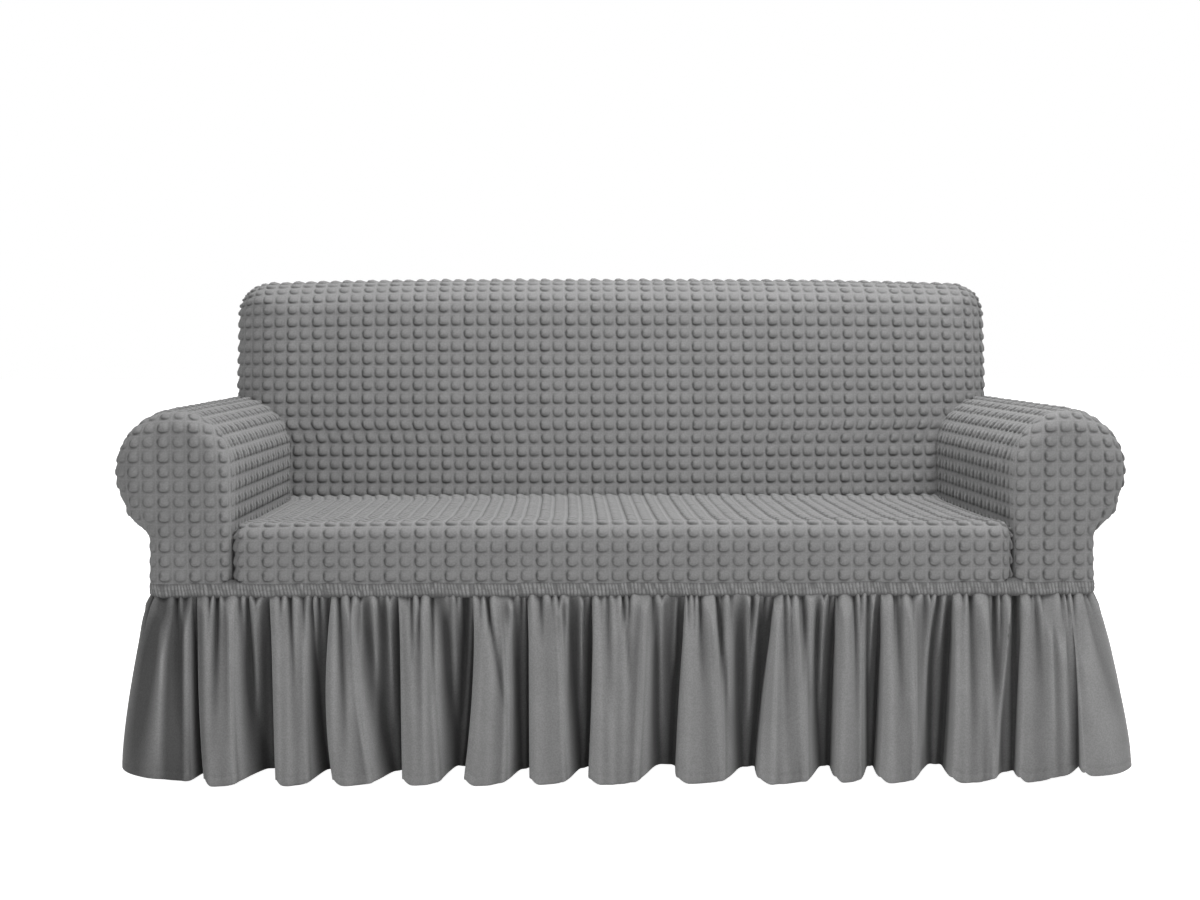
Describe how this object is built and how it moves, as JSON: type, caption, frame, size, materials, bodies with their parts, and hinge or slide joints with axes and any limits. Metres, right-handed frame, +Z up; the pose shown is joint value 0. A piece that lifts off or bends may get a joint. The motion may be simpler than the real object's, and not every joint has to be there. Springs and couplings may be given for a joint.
{
  "type": "sofa slipcover",
  "caption": "Fitted stretch sofa cover in a raised bubble knit, with rounded arms, a fine gathered band and a gathered skirt to the floor.",
  "frame": {"origin": "on the floor, under the middle of the cover's width and depth", "axes": "+X to the right as one faces the seat, along the cover's width; +Y from the front towards the back; +Z up"},
  "size_m": [1.8057, 0.9646, 0.9083],
  "materials": {
    "bubble_knit": "matte mid-grey stretch knit with raised square bubbles",
    "shirred_knit": "matte mid-grey knit, finely gathered",
    "skirt_knit": "matte mid-grey plain knit with a soft sheen"
  },
  "bodies": {
    "root": {"inside_back": "bubble_knit", "outside_back": "bubble_knit", "seat": "bubble_knit", "arm_left": "bubble_knit", "arm_right": "bubble_knit", "arm_front_left": "bubble_knit", "arm_front_right": "bubble_knit", "gather_band": "shirred_knit", "skirt": "skirt_knit"}
  },
  "joints": []
}
